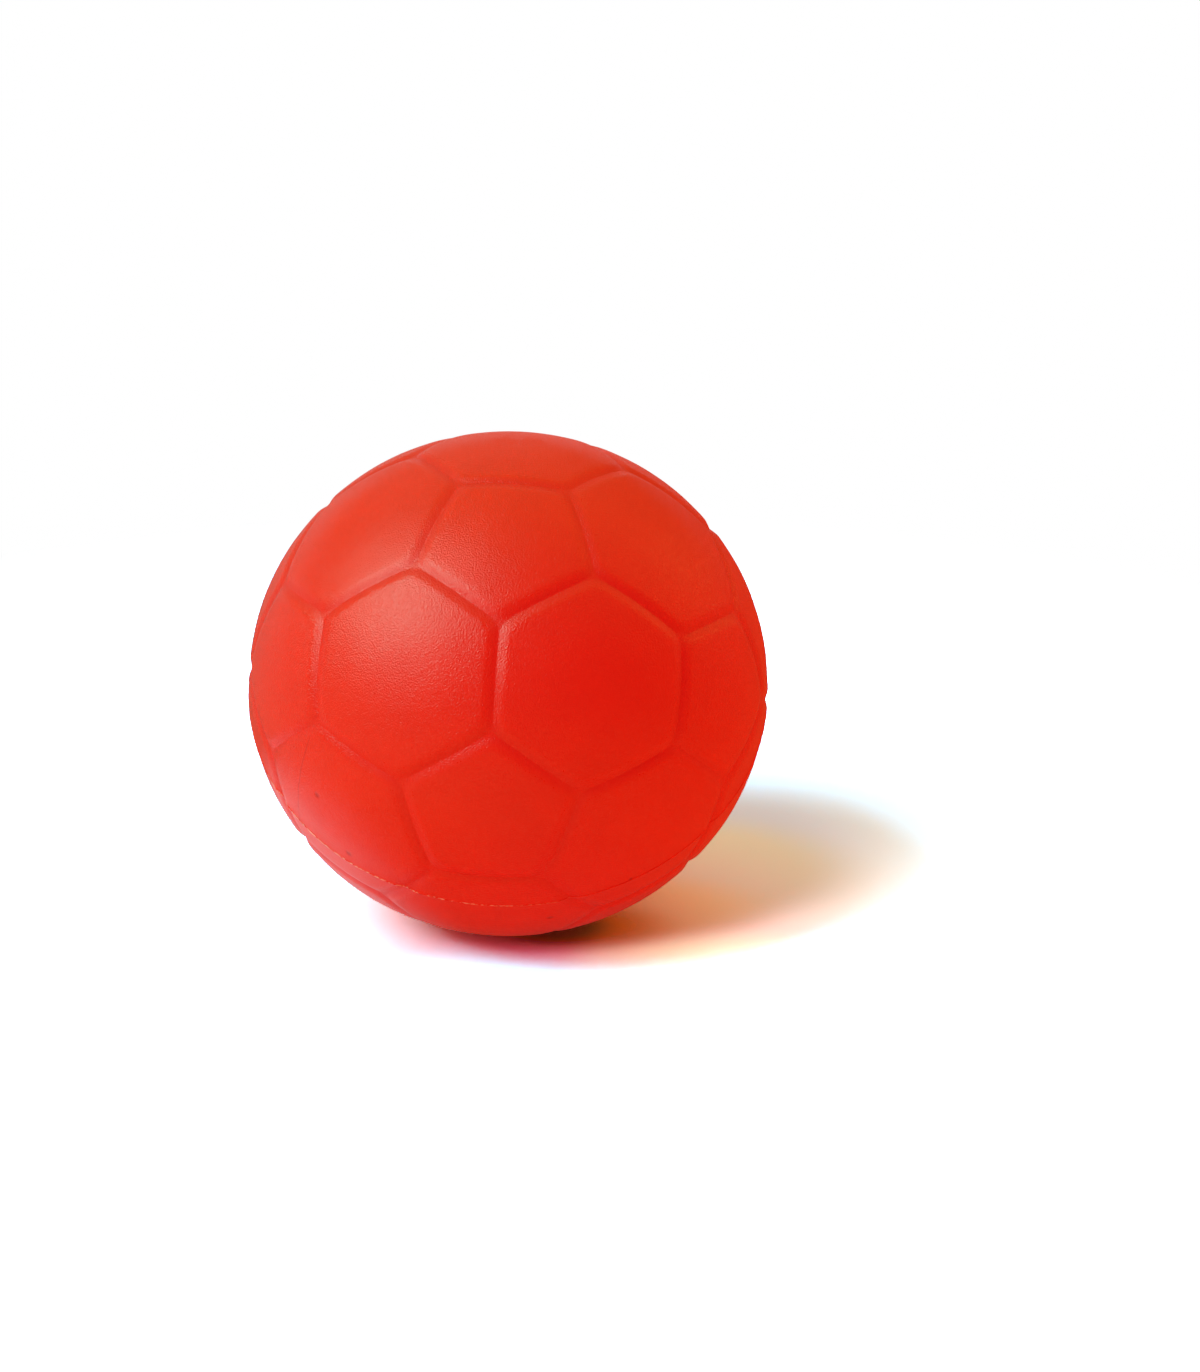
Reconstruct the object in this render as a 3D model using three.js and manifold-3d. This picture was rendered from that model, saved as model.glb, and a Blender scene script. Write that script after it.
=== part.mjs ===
// Moulded foam soccer ball, in millimetres with +Z up.
// The origin is the middle of the flat patch that the ball rests on, and +Y points away from the viewer.
import * as THREE from 'three';
import { mergeVertices } from 'three/addons/utils/BufferGeometryUtils.js';
import Module from 'manifold-3d';

// Ball and panel relief
const BALL_DIAMETER = 200;
const GROOVE_DEPTH = 1.0;
const GROOVE_HALF_WIDTH = 3.6;
const GROOVE_SHOULDER_FULLNESS = 1.4;
const PANEL_CORNER_SHARPNESS = 1.6;

// Skin, parting flash and fit
const SKIN_THICKNESS = 2.0;
const FLASH_THICKNESS = 0.6;
const FLASH_PROUD = 0.4;
const FIT_CLEARANCE = 0.3;

// How the soft ball lies on the floor
const HEIGHT_LOST_BY_SETTLING = 6.0;
const FOOT_PRESSED_FLAT = 1.2;
const MOULD_AXIS_LEAN = 36.8;
const PATTERN_SPIN = -95.1;

// Mesh fineness
const STEPS_ALONG_PANEL_EDGE = 4;
const RINGS_ON_GROOVE_WALL = [0, 0.33, 0.83, 1.4, 2.5];
const RINGS_ON_PANEL = 2;
const INNER_BALL_DETAIL = 7;
const FLASH_STEPS = 240;
const WELD_TOLERANCE = 1e-4;

// Finishes
const SKIN_RED = 0xe0301e;
const FLASH_RED = 0xc92a1c;
const CORE_RED = 0xe2604c;
const SKIN_ROUGHNESS = 0.5;
const CORE_ROUGHNESS = 0.95;

// Sizes that follow from the ones above
const CROWN_RADIUS = BALL_DIAMETER / 2;
const CAVITY_RADIUS = CROWN_RADIUS - GROOVE_DEPTH - SKIN_THICKNESS;
const CORE_RADIUS = CAVITY_RADIUS - FIT_CLEARANCE;
const SLOT_FOR_FLASH = FLASH_THICKNESS + 2 * FIT_CLEARANCE;
const SETTLED_RATIO = (BALL_DIAMETER - HEIGHT_LOST_BY_SETTLING) / BALL_DIAMETER;
const CENTRE_HEIGHT = CROWN_RADIUS * SETTLED_RATIO - FOOT_PRESSED_FLAT;

const wasm = await Module();
wasm.setup();

// The twelve corners of an icosahedron, with one corner on the mould axis
function icosahedronCorners() {
  const ringHeight = 1 / Math.sqrt(5);
  const ringRadius = 2 / Math.sqrt(5);
  const fifth = (2 * Math.PI) / 5;
  const corners = [new THREE.Vector3(0, 0, 1), new THREE.Vector3(0, 0, -1)];
  for (let i = 0; i < 5; i += 1) {
    const upper = i * fifth;
    const lower = (i + 0.5) * fifth;
    corners.push(new THREE.Vector3(ringRadius * Math.cos(upper), ringRadius * Math.sin(upper), ringHeight));
    corners.push(new THREE.Vector3(ringRadius * Math.cos(lower), ringRadius * Math.sin(lower), -ringHeight));
  }
  return corners;
}

// Panel corners in order around the panel's middle, anticlockwise from outside
function orderedAround(middle, points) {
  const east = points[0].clone().addScaledVector(middle, -points[0].dot(middle)).normalize();
  const north = new THREE.Vector3().crossVectors(middle, east);
  const bearing = (point) => Math.atan2(point.dot(north), point.dot(east));
  return [...points].sort((a, b) => bearing(a) - bearing(b));
}

// One panel: its middle, its corners and the inward normal of the plane through each edge
function makePanel(middle, points) {
  const corners = orderedAround(middle, points);
  const edgeNormals = corners.map((corner, i) => {
    const next = corners[(i + 1) % corners.length];
    return new THREE.Vector3().crossVectors(corner, next).normalize();
  });
  return { middle, corners, edgeNormals };
}

// The 12 pentagons and 20 hexagons of a soccer pattern
function soccerPanels() {
  const tips = icosahedronCorners();
  const neighbours = (a, b) => a !== b && a.dot(b) > 0;
  const third = (a, b) => a.clone().lerp(b, 1 / 3).normalize();
  const panels = [];
  for (const tip of tips) {
    const around = tips.filter((other) => neighbours(tip, other));
    panels.push(makePanel(tip, around.map((other) => third(tip, other))));
  }
  tips.forEach((a, i) => {
    tips.slice(i + 1).forEach((b, j) => {
      for (const c of tips.slice(i + j + 2)) {
        if (neighbours(a, b) && neighbours(b, c) && neighbours(c, a)) {
          const middle = a.clone().add(b).add(c).normalize();
          const points = [[a, b], [b, a], [b, c], [c, b], [c, a], [a, c]];
          panels.push(makePanel(middle, points.map(([p, q]) => third(p, q))));
        }
      }
    });
  });
  return panels;
}

// Distance over the surface from a direction to each edge of its panel
function edgeDistances(panel, direction) {
  return panel.edgeNormals.map((normal) => CROWN_RADIUS * Math.asin(normal.dot(direction)));
}

// Radius of the moulded surface: a round ball, sunk along the panel edges, with rounded panel corners
function reliefRadius(panel, direction) {
  let closeness = 0;
  for (const distance of edgeDistances(panel, direction)) {
    const away = Math.max(0, distance) / GROOVE_HALF_WIDTH;
    closeness += Math.exp(-PANEL_CORNER_SHARPNESS * away ** GROOVE_SHOULDER_FULLNESS);
  }
  const sink = Math.min(1, closeness ** (1 / PANEL_CORNER_SHARPNESS));
  return CROWN_RADIUS - GROOVE_DEPTH * sink;
}

// The panel that a direction falls in
function panelAt(panels, direction) {
  const inside = (panel) => Math.min(...edgeDistances(panel, direction));
  return panels.reduce((best, panel) => (inside(panel) > inside(best) ? panel : best));
}

// Rings of points on one sector of a panel, from the groove line in to the panel's middle
function sectorRings(panel, i) {
  const start = panel.corners[i];
  const end = panel.corners[(i + 1) % panel.corners.length];
  const apothem = edgeDistances(panel, panel.middle)[i];
  const inward = RINGS_ON_GROOVE_WALL.map((ring) => (ring * GROOVE_HALF_WIDTH) / apothem);
  const last = inward[inward.length - 1];
  for (let ring = 1; ring <= RINGS_ON_PANEL; ring += 1) {
    inward.push(last + ((1 - last) * ring) / (RINGS_ON_PANEL + 1));
  }
  return inward.map((fraction) => {
    const ring = [];
    for (let step = 0; step <= STEPS_ALONG_PANEL_EDGE; step += 1) {
      const onEdge = start.clone().lerp(end, step / STEPS_ALONG_PANEL_EDGE).normalize();
      const direction = onEdge.lerp(panel.middle, fraction).normalize();
      ring.push(direction.multiplyScalar(reliefRadius(panel, direction)));
    }
    return ring;
  });
}

// Closed surface of the whole moulded ball, built panel by panel so that groove lines are mesh edges
function mouldedBall(panels) {
  const positions = [];
  const triangle = (a, b, c) => positions.push(...a.toArray(), ...b.toArray(), ...c.toArray());
  for (const panel of panels) {
    const middle = panel.middle.clone().multiplyScalar(reliefRadius(panel, panel.middle));
    panel.corners.forEach((corner, i) => {
      const rings = sectorRings(panel, i);
      for (let step = 0; step < STEPS_ALONG_PANEL_EDGE; step += 1) {
        for (let r = 0; r + 1 < rings.length; r += 1) {
          triangle(rings[r][step], rings[r][step + 1], rings[r + 1][step]);
          triangle(rings[r][step + 1], rings[r + 1][step + 1], rings[r + 1][step]);
        }
        const inner = rings[rings.length - 1];
        triangle(inner[step], inner[step + 1], middle);
      }
    });
  }
  const geometry = new THREE.BufferGeometry();
  geometry.setAttribute('position', new THREE.Float32BufferAttribute(positions, 3));
  return geometry;
}

// Thin ring in the parting plane that follows the relief and stands a little proud of it
function flashRing(panels) {
  const outline = [];
  const hole = [];
  for (let step = 0; step < FLASH_STEPS; step += 1) {
    const angle = (2 * Math.PI * step) / FLASH_STEPS;
    const direction = new THREE.Vector3(Math.cos(angle), Math.sin(angle), 0);
    const radius = reliefRadius(panelAt(panels, direction), direction) + FLASH_PROUD;
    outline.push(new THREE.Vector2(radius * direction.x, radius * direction.y));
    hole.push(new THREE.Vector2(CAVITY_RADIUS * direction.x, CAVITY_RADIUS * direction.y));
  }
  const shape = new THREE.Shape(outline);
  shape.holes.push(new THREE.Path(hole));
  const geometry = new THREE.ExtrudeGeometry(shape, { depth: FLASH_THICKNESS, bevelEnabled: false });
  return geometry.translate(0, 0, -FLASH_THICKNESS / 2);
}

// Box that holds everything above a height, for cutting
function boxAbove(height) {
  const side = 2 * BALL_DIAMETER;
  return new THREE.BoxGeometry(side, side, side).translate(0, 0, height + side / 2);
}

// Box that holds everything below a height, for cutting
function boxBelow(height) {
  const side = 2 * BALL_DIAMETER;
  return new THREE.BoxGeometry(side, side, side).translate(0, 0, height - side / 2);
}

function solidFrom(geometry) {
  const bare = geometry.clone();
  bare.deleteAttribute('normal');
  bare.deleteAttribute('uv');
  const welded = mergeVertices(bare, WELD_TOLERANCE);
  const mesh = new wasm.Mesh({
    numProp: 3,
    vertProperties: new Float32Array(welded.attributes.position.array),
    triVerts: new Uint32Array(welded.index.array),
  });
  return new wasm.Manifold(mesh);
}

function geometryFrom(solid) {
  const mesh = solid.getMesh();
  const geometry = new THREE.BufferGeometry();
  geometry.setAttribute('position', new THREE.BufferAttribute(new Float32Array(mesh.vertProperties), 3));
  geometry.setIndex(new THREE.BufferAttribute(new Uint32Array(mesh.triVerts), 1));
  return geometry;
}

// From the mould's frame to the ball lying on the floor: turned, settled by its own weight and lifted
function restingPlace() {
  const turn = new THREE.Euler(
    THREE.MathUtils.degToRad(MOULD_AXIS_LEAN),
    0,
    THREE.MathUtils.degToRad(PATTERN_SPIN),
    'XYZ',
  );
  return new THREE.Matrix4()
    .makeTranslation(0, 0, CENTRE_HEIGHT)
    .multiply(new THREE.Matrix4().makeScale(1, 1, SETTLED_RATIO))
    .multiply(new THREE.Matrix4().makeRotationFromEuler(turn));
}

const resting = restingPlace();
const root = new THREE.Group();
root.name = 'foam_soccer_ball';

function addPiece(name, geometry, colour, roughness) {
  const placed = geometry.applyMatrix4(resting);
  placed.computeVertexNormals();
  const material = new THREE.MeshStandardMaterial({ color: colour, roughness, metalness: 0 });
  const mesh = new THREE.Mesh(placed, material);
  mesh.name = name;
  root.add(mesh);
}

// Skin: the moulded ball, pressed flat where it lies on the floor and hollowed for the foam core
const panels = soccerPanels();
const floor = solidFrom(boxBelow(0).applyMatrix4(resting.clone().invert()));
const cavity = solidFrom(new THREE.IcosahedronGeometry(CAVITY_RADIUS, INNER_BALL_DETAIL));
const skin = solidFrom(mouldedBall(panels)).subtract(floor).subtract(cavity);

// The mould halves meet at the parting plane, and leave a slot there for the flash
const upperSkin = skin.intersect(solidFrom(boxAbove(SLOT_FOR_FLASH / 2)));
const lowerSkin = skin.intersect(solidFrom(boxBelow(-SLOT_FOR_FLASH / 2)));

addPiece('upper_skin', geometryFrom(upperSkin), SKIN_RED, SKIN_ROUGHNESS);
addPiece('lower_skin', geometryFrom(lowerSkin), SKIN_RED, SKIN_ROUGHNESS);
addPiece('parting_flash', flashRing(panels), FLASH_RED, SKIN_ROUGHNESS);
addPiece('foam_core', new THREE.IcosahedronGeometry(CORE_RADIUS, INNER_BALL_DETAIL), CORE_RED, CORE_ROUGHNESS);

export default root;
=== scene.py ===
"""Moulded foam soccer ball on a white studio floor, in metres with +Z up."""

from __future__ import annotations

import logging
import math
from dataclasses import dataclass
from enum import Enum
from typing import Callable

import bpy
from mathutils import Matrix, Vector

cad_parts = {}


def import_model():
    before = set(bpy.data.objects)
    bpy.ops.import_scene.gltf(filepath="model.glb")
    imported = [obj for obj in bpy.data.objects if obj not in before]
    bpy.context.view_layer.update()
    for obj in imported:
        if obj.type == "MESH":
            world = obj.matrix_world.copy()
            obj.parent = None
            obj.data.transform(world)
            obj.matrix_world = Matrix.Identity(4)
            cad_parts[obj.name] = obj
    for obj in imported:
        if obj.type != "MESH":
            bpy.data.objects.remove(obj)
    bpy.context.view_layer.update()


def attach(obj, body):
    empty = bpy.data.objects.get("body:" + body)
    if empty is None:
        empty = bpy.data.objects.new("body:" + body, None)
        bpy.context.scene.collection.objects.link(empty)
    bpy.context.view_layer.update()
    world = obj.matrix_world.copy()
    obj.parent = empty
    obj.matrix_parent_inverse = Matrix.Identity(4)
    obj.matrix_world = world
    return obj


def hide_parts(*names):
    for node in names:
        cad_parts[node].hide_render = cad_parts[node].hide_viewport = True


LOG = logging.getLogger("foam_soccer_ball")
PHOTO_WIDTH = 1200
PHOTO_HEIGHT = 1372
MILLIMETRES_PER_METRE = 1000.0
GROOVE_SHARE = "groove_share"
FLASH_THICKNESS = 0.00044

# Red, green, blue and alpha.
Colour = tuple[float, float, float, float]
# Where an easing begins and where it ends.
Span = tuple[float, float]


class MouldHalf(Enum):
    """The half of the mould that a skin is formed in, as its side of the parting plane."""

    UPPER = 1
    LOWER = -1


class Bench:
    """Small modelling moves that every piece needs."""

    SHARP_CORNER = math.radians(50.0)

    @staticmethod
    def only(piece: bpy.types.Object) -> None:
        """Select one object alone and make it active."""
        bpy.ops.object.select_all(action="DESELECT")
        piece.select_set(True)
        bpy.context.view_layer.objects.active = piece

    @staticmethod
    def edit(select_mode: str) -> None:
        """Open the active object for editing in one select mode."""
        bpy.ops.object.mode_set(mode="EDIT")
        bpy.ops.mesh.select_mode(type=select_mode)

    @staticmethod
    def done() -> None:
        """Leave edit mode."""
        bpy.ops.object.mode_set(mode="OBJECT")

    @staticmethod
    def deselect(select_mode: str) -> None:
        """Deselect the active object all over, ready for selecting in one mode by code."""
        Bench.edit(select_mode)
        bpy.ops.mesh.select_all(action="DESELECT")
        Bench.done()

    @staticmethod
    def pick_vertices(piece: bpy.types.Object, wanted: Callable[[Vector], bool]) -> None:
        """Select vertices by their place, and leave the object open for editing.

        Args:
            piece: The object to select on.
            wanted: Says whether a vertex at a place is wanted.
        """
        Bench.deselect("VERT")
        for vertex in piece.data.vertices:
            vertex.select = wanted(vertex.co)
        bpy.ops.object.mode_set(mode="EDIT")

    @staticmethod
    def pick_edges(piece: bpy.types.Object, wanted: Callable[[Vector, Vector], bool]) -> None:
        """Select edges by where their ends are, and leave the object open for editing.

        Args:
            piece: The object to select on.
            wanted: Says whether an edge between two places is wanted.
        """
        Bench.deselect("EDGE")
        vertices = piece.data.vertices
        for edge in piece.data.edges:
            start, end = (vertices[index].co for index in edge.vertices)
            edge.select = wanted(start, end)
        bpy.ops.object.mode_set(mode="EDIT")

    @staticmethod
    def apply(piece: bpy.types.Object, kind: str, **settings: object) -> None:
        """Add one modifier, set it up and apply it.

        Args:
            piece: The object that takes the modifier.
            kind: Blender's name for the modifier type.
            settings: Modifier properties by name.
        """
        Bench.only(piece)
        modifier = piece.modifiers.new(kind.lower(), kind)
        for name, value in settings.items():
            setattr(modifier, name, value)
        bpy.ops.object.modifier_apply(modifier=modifier.name)

    @staticmethod
    def copy_of(piece: bpy.types.Object, name: str) -> bpy.types.Object:
        """Copy an object with its own mesh.

        Args:
            piece: The object to copy.
            name: The copy's name.

        Returns:
            The copy, linked to the scene.
        """
        twin = piece.copy()
        twin.data = piece.data.copy()
        twin.name = name
        twin.data.name = name
        bpy.context.scene.collection.objects.link(twin)
        return twin

    @staticmethod
    def weigh(piece: bpy.types.Object, group: str, weight: Callable[[Vector], float]) -> None:
        """Give every vertex a weight in a vertex group, by its place.

        Args:
            piece: The object that gets the group.
            group: The group's name.
            weight: The weight at a place.
        """
        weights = piece.vertex_groups.new(name=group)
        for vertex in piece.data.vertices:
            weights.add([vertex.index], weight(vertex.co), "REPLACE")

    @staticmethod
    def keep_weights(piece: bpy.types.Object, group: str, attribute: str) -> None:
        """Copy a vertex group's weights to a mesh attribute, which materials can read.

        Args:
            piece: The object with the group.
            group: The group's name.
            attribute: The attribute's name.
        """
        index = piece.vertex_groups[group].index
        kept = piece.data.attributes.new(attribute, "FLOAT", "POINT")
        for vertex in piece.data.vertices:
            for entry in vertex.groups:
                if entry.group == index:
                    kept.data[vertex.index].value = entry.weight

    @staticmethod
    def smooth(piece: bpy.types.Object) -> None:
        """Shade an object smoothly, apart from its sharp corners."""
        Bench.only(piece)
        bpy.ops.object.shade_smooth_by_angle(angle=Bench.SHARP_CORNER)


@dataclass(frozen=True)
class RestingPose:
    """How the soft ball lies on the floor: leaned, settled by its weight and flat where it touches."""

    crown_radius: float = 0.100
    mould_axis_lean: float = math.radians(36.8)
    pattern_spin: float = math.radians(-95.1)
    settled_ratio: float = 0.97
    foot_pressed_flat: float = 0.0012

    @property
    def centre(self) -> Vector:
        """Middle of the ball."""
        return Vector((0.0, 0.0, self.crown_radius * self.settled_ratio - self.foot_pressed_flat))

    @property
    def mould_axis(self) -> Vector:
        """Unit vector out through the top of the upper mould half, settling left out."""
        return Vector((0.0, -math.sin(self.mould_axis_lean), math.cos(self.mould_axis_lean)))

    def place(self, bearing: float, height: float) -> Vector:
        """Find a place on the settled ball's surface.

        Args:
            bearing: Degrees round from the viewer's side, to the viewer's right.
            height: Degrees above the ball's middle.

        Returns:
            The place in the scene.
        """
        turn, rise = math.radians(bearing), math.radians(height)
        flat = math.cos(rise) * self.crown_radius
        up = math.sin(rise) * self.crown_radius * self.settled_ratio
        return self.centre + Vector((flat * math.sin(turn), -flat * math.cos(turn), up))

    def lay_down(self, piece: bpy.types.Object) -> None:
        """Take a piece from the mould's frame to where it lies, with its place in its mesh.

        Args:
            piece: A finished piece, made round the origin with the mould axis upright.
        """
        Bench.only(piece)
        piece.rotation_mode = "ZYX"
        piece.rotation_euler = (self.mould_axis_lean, 0.0, self.pattern_spin)
        bpy.ops.object.transform_apply(location=False, rotation=True, scale=False)
        piece.scale = (1.0, 1.0, self.settled_ratio)
        bpy.ops.object.transform_apply(location=False, rotation=False, scale=True)
        piece.location = self.centre
        bpy.ops.object.transform_apply(location=True, rotation=False, scale=False)
        Bench.pick_vertices(piece, lambda place: place.z < 0.0)
        bpy.ops.transform.resize(value=(1.0, 1.0, 0.0), center_override=(0.0, 0.0, 0.0))
        Bench.done()


@dataclass(frozen=True)
class GrooveRing:
    """One ring of a panel's edge: the step in from the ring before, and its share of the depth."""

    inset: float
    depth_share: float


@dataclass
class MouldedSkin:
    """The two skins, with the soccer pattern moulded into them as rounded grooves."""

    pose: RestingPose
    groove_depth: float = 0.00105
    rings: tuple[GrooveRing, ...] = (
        GrooveRing(0.0008, 0.76),
        GrooveRing(0.0012, 0.40),
        GrooveRing(0.0010, 0.15),
        GrooveRing(0.0008, 0.045),
        GrooveRing(0.0010, 0.008),
        GrooveRing(0.0033, 0.0),
        GrooveRing(0.0059, 0.0),
    )
    corner_cut_percent: float = 100.0 / 3.0
    ring_tolerance: float = 1e-6
    cuts_along_edge: int = 5
    deepest_share: float = 0.99
    groove_crease: float = 0.35
    smoothing: int = 2
    wall_radius: float = 0.097
    wall_fineness: int = 5
    lip_height: float = 0.00030
    lip_reach: float = 0.0050
    flash_half: float = FLASH_THICKNESS / 2

    def panel_ball(self) -> bpy.types.Object:
        """Model the whole moulded surface round the origin.

        Returns:
            A closed ball with 12 pentagons and 20 hexagons, parted by grooves.
        """
        bpy.ops.object.select_all(action="DESELECT")
        bpy.ops.mesh.primitive_ico_sphere_add(subdivisions=1, radius=self.pose.crown_radius)
        ball = bpy.context.object
        ball.name = "panel_ball"
        self._inset_panels(ball)
        self._refine_panels(ball)
        self._crease_groove_lines(ball)
        self._round_out(ball, "")
        Bench.apply(
            ball,
            "DISPLACE",
            vertex_group="groove",
            strength=-self.groove_depth,
            mid_level=0.0,
            direction="NORMAL",
        )
        Bench.apply(ball, "SUBSURF", levels=self.smoothing, render_levels=self.smoothing)
        self._round_out(ball, "crown")
        Bench.keep_weights(ball, "groove", GROOVE_SHARE)
        return ball

    def skin(self, ball: bpy.types.Object, half: MouldHalf, name: str) -> bpy.types.Object:
        """Cut one skin from the moulded surface and give it an inner wall.

        Args:
            ball: The whole moulded surface.
            half: The mould half that this skin is formed in.
            name: The piece's name.

        Returns:
            The skin where it lies on the floor.
        """
        skin = Bench.copy_of(ball, name)
        self._keep_half(skin, half)
        Bench.weigh(skin, "lip", self._lip_weight)
        Bench.apply(skin, "DISPLACE", vertex_group="lip", strength=self.lip_height, mid_level=0.0)
        self._close_rim(skin, self._inner_wall(half))
        skin.vertex_groups.clear()
        self.pose.lay_down(skin)
        Bench.smooth(skin)
        return skin

    def _inset_panels(self, ball: bpy.types.Object) -> None:
        """Cut the corners into pentagons, and inset every panel ring by ring.

        Each ring is weighted by its share of the groove's depth, and the last also as the crown.

        Args:
            ball: The ball while it still has 20 triangles.
        """
        groove = ball.vertex_groups.new(name="groove")
        crown = ball.vertex_groups.new(name="crown")
        ball.vertex_groups.active_index = groove.index
        Bench.edit("VERT")
        bpy.ops.mesh.select_all(action="SELECT")
        bpy.ops.mesh.bevel(
            offset_type="PERCENT", offset_pct=self.corner_cut_percent, affect="VERTICES", segments=1
        )
        self._weigh_selected(1.0)
        bpy.ops.mesh.select_mode(type="FACE")
        bpy.ops.mesh.select_all(action="SELECT")
        for ring in self.rings:
            bpy.ops.mesh.inset(thickness=ring.inset, use_individual=True, use_even_offset=True)
            self._weigh_selected(ring.depth_share)
        ball.vertex_groups.active_index = crown.index
        self._weigh_selected(1.0)
        Bench.done()

    @staticmethod
    def _weigh_selected(weight: float) -> None:
        """Give the selected vertices a weight in the active vertex group."""
        bpy.context.scene.tool_settings.vertex_group_weight = weight
        bpy.ops.object.vertex_group_assign()

    def _refine_panels(self, ball: bpy.types.Object) -> None:
        """Cut the rings' edges into shorter ones, and fill each panel's middle with triangles."""
        Bench.pick_edges(ball, lambda start, end: abs(start.length - end.length) < self.ring_tolerance)
        bpy.ops.mesh.subdivide(number_cuts=self.cuts_along_edge)
        bpy.ops.mesh.select_mode(type="FACE")
        bpy.ops.mesh.select_face_by_sides(number=4, type="GREATER", extend=False)
        bpy.ops.mesh.poke()
        Bench.done()

    def _round_out(self, ball: bpy.types.Object, group: str) -> None:
        """Bring a surface, or one vertex group of it, to the ball's round form."""
        Bench.apply(
            ball,
            "CAST",
            cast_type="SPHERE",
            factor=1.0,
            use_radius_as_size=False,
            size=self.pose.crown_radius,
            vertex_group=group,
        )

    def _crease_groove_lines(self, ball: bpy.types.Object) -> None:
        """Keep the bottom of each groove crisp when the surface is smoothed."""
        group = ball.vertex_groups["groove"].index
        deepest = {
            vertex.index
            for vertex in ball.data.vertices
            if any(entry.group == group and entry.weight > self.deepest_share for entry in vertex.groups)
        }
        Bench.deselect("EDGE")
        for edge in ball.data.edges:
            edge.select = all(index in deepest for index in edge.vertices)
        bpy.ops.object.mode_set(mode="EDIT")
        bpy.ops.transform.edge_crease(value=self.groove_crease)
        Bench.done()

    def _keep_half(self, piece: bpy.types.Object, half: MouldHalf) -> None:
        """Cut a piece at the parting plane and keep one side of it."""
        Bench.only(piece)
        Bench.edit("VERT")
        bpy.ops.mesh.select_all(action="SELECT")
        bpy.ops.mesh.bisect(
            plane_co=(0.0, 0.0, half.value * self.flash_half),
            plane_no=(0.0, 0.0, 1.0),
            clear_inner=half is MouldHalf.UPPER,
            clear_outer=half is MouldHalf.LOWER,
        )
        Bench.done()

    def _lip_weight(self, place: Vector) -> float:
        """Share of the lip's height at a place, from its distance to the parting plane."""
        return max(0.0, 1.0 - (abs(place.z) - self.flash_half) / self.lip_reach) ** 2

    def _inner_wall(self, half: MouldHalf) -> bpy.types.Object:
        """Model the inside of a skin, where it meets the foam.

        Args:
            half: The mould half.

        Returns:
            An open half ball that faces inwards.
        """
        bpy.ops.object.select_all(action="DESELECT")
        bpy.ops.mesh.primitive_ico_sphere_add(subdivisions=self.wall_fineness, radius=self.wall_radius)
        wall = bpy.context.object
        self._keep_half(wall, half)
        Bench.edit("FACE")
        bpy.ops.mesh.select_all(action="SELECT")
        bpy.ops.mesh.flip_normals()
        Bench.done()
        return wall

    @staticmethod
    def _close_rim(skin: bpy.types.Object, wall: bpy.types.Object) -> None:
        """Join an inner wall to a skin, and bridge the gap between their open rims."""
        Bench.only(skin)
        wall.select_set(True)
        bpy.ops.object.join()
        Bench.edit("EDGE")
        bpy.ops.mesh.select_all(action="DESELECT")
        bpy.ops.mesh.select_non_manifold(
            extend=False,
            use_wire=False,
            use_boundary=True,
            use_multi_face=False,
            use_non_contiguous=False,
            use_verts=False,
        )
        bpy.ops.mesh.bridge_edge_loops()
        Bench.done()


@dataclass
class PartingFlash:
    """Thin uneven fin of skin squeezed out between the mould halves."""

    pose: RestingPose
    thickness: float = FLASH_THICKNESS
    proud: float = 0.00045
    rooted: float = 0.0027
    unevenness: float = 0.00008
    seed: int = 11

    def build(self, ball: bpy.types.Object, name: str) -> bpy.types.Object:
        """Model the fin along the line where the parting plane cuts the moulded surface.

        Args:
            ball: The whole moulded surface.
            name: The piece's name.

        Returns:
            The fin where it lies on the floor.
        """
        flash = Bench.copy_of(ball, name)
        Bench.only(flash)
        Bench.edit("VERT")
        bpy.ops.mesh.select_all(action="SELECT")
        bpy.ops.mesh.bisect(
            plane_co=(0.0, 0.0, 0.0), plane_no=(0.0, 0.0, 1.0), clear_inner=True, clear_outer=True
        )
        bpy.ops.mesh.select_all(action="SELECT")
        radius = self.pose.crown_radius
        root = (radius - self.rooted) / radius
        edge = (radius + self.proud) / (radius - self.rooted)
        bpy.ops.transform.resize(value=(root, root, 1.0), center_override=(0.0, 0.0, 0.0))
        bpy.ops.mesh.extrude_edges_move()
        bpy.ops.transform.resize(value=(edge, edge, 1.0), center_override=(0.0, 0.0, 0.0))
        bpy.ops.transform.vertex_random(offset=self.unevenness, uniform=0.0, normal=0.0, seed=self.seed)
        bpy.ops.mesh.select_all(action="SELECT")
        bpy.ops.mesh.normals_make_consistent(inside=False)
        Bench.done()
        flash.vertex_groups.clear()
        Bench.apply(flash, "SOLIDIFY", thickness=self.thickness, offset=0.0)
        self.pose.lay_down(flash)
        Bench.smooth(flash)
        return flash


@dataclass
class FoamCore:
    """Soft cellular foam that fills the skin."""

    pose: RestingPose
    radius: float = 0.0965
    fineness: int = 6
    cell_roughness: float = 0.00025
    seed: int = 5

    def build(self, name: str) -> bpy.types.Object:
        """Model the foam ball.

        Args:
            name: The piece's name.

        Returns:
            The foam where it lies inside the skin.
        """
        bpy.ops.object.select_all(action="DESELECT")
        bpy.ops.mesh.primitive_ico_sphere_add(subdivisions=self.fineness, radius=self.radius)
        core = bpy.context.object
        core.name = name
        core.data.name = name
        Bench.edit("VERT")
        bpy.ops.mesh.select_all(action="SELECT")
        bpy.ops.transform.vertex_random(
            offset=self.cell_roughness, uniform=0.0, normal=1.0, seed=self.seed
        )
        Bench.done()
        self.pose.lay_down(core)
        Bench.smooth(core)
        return core


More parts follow.
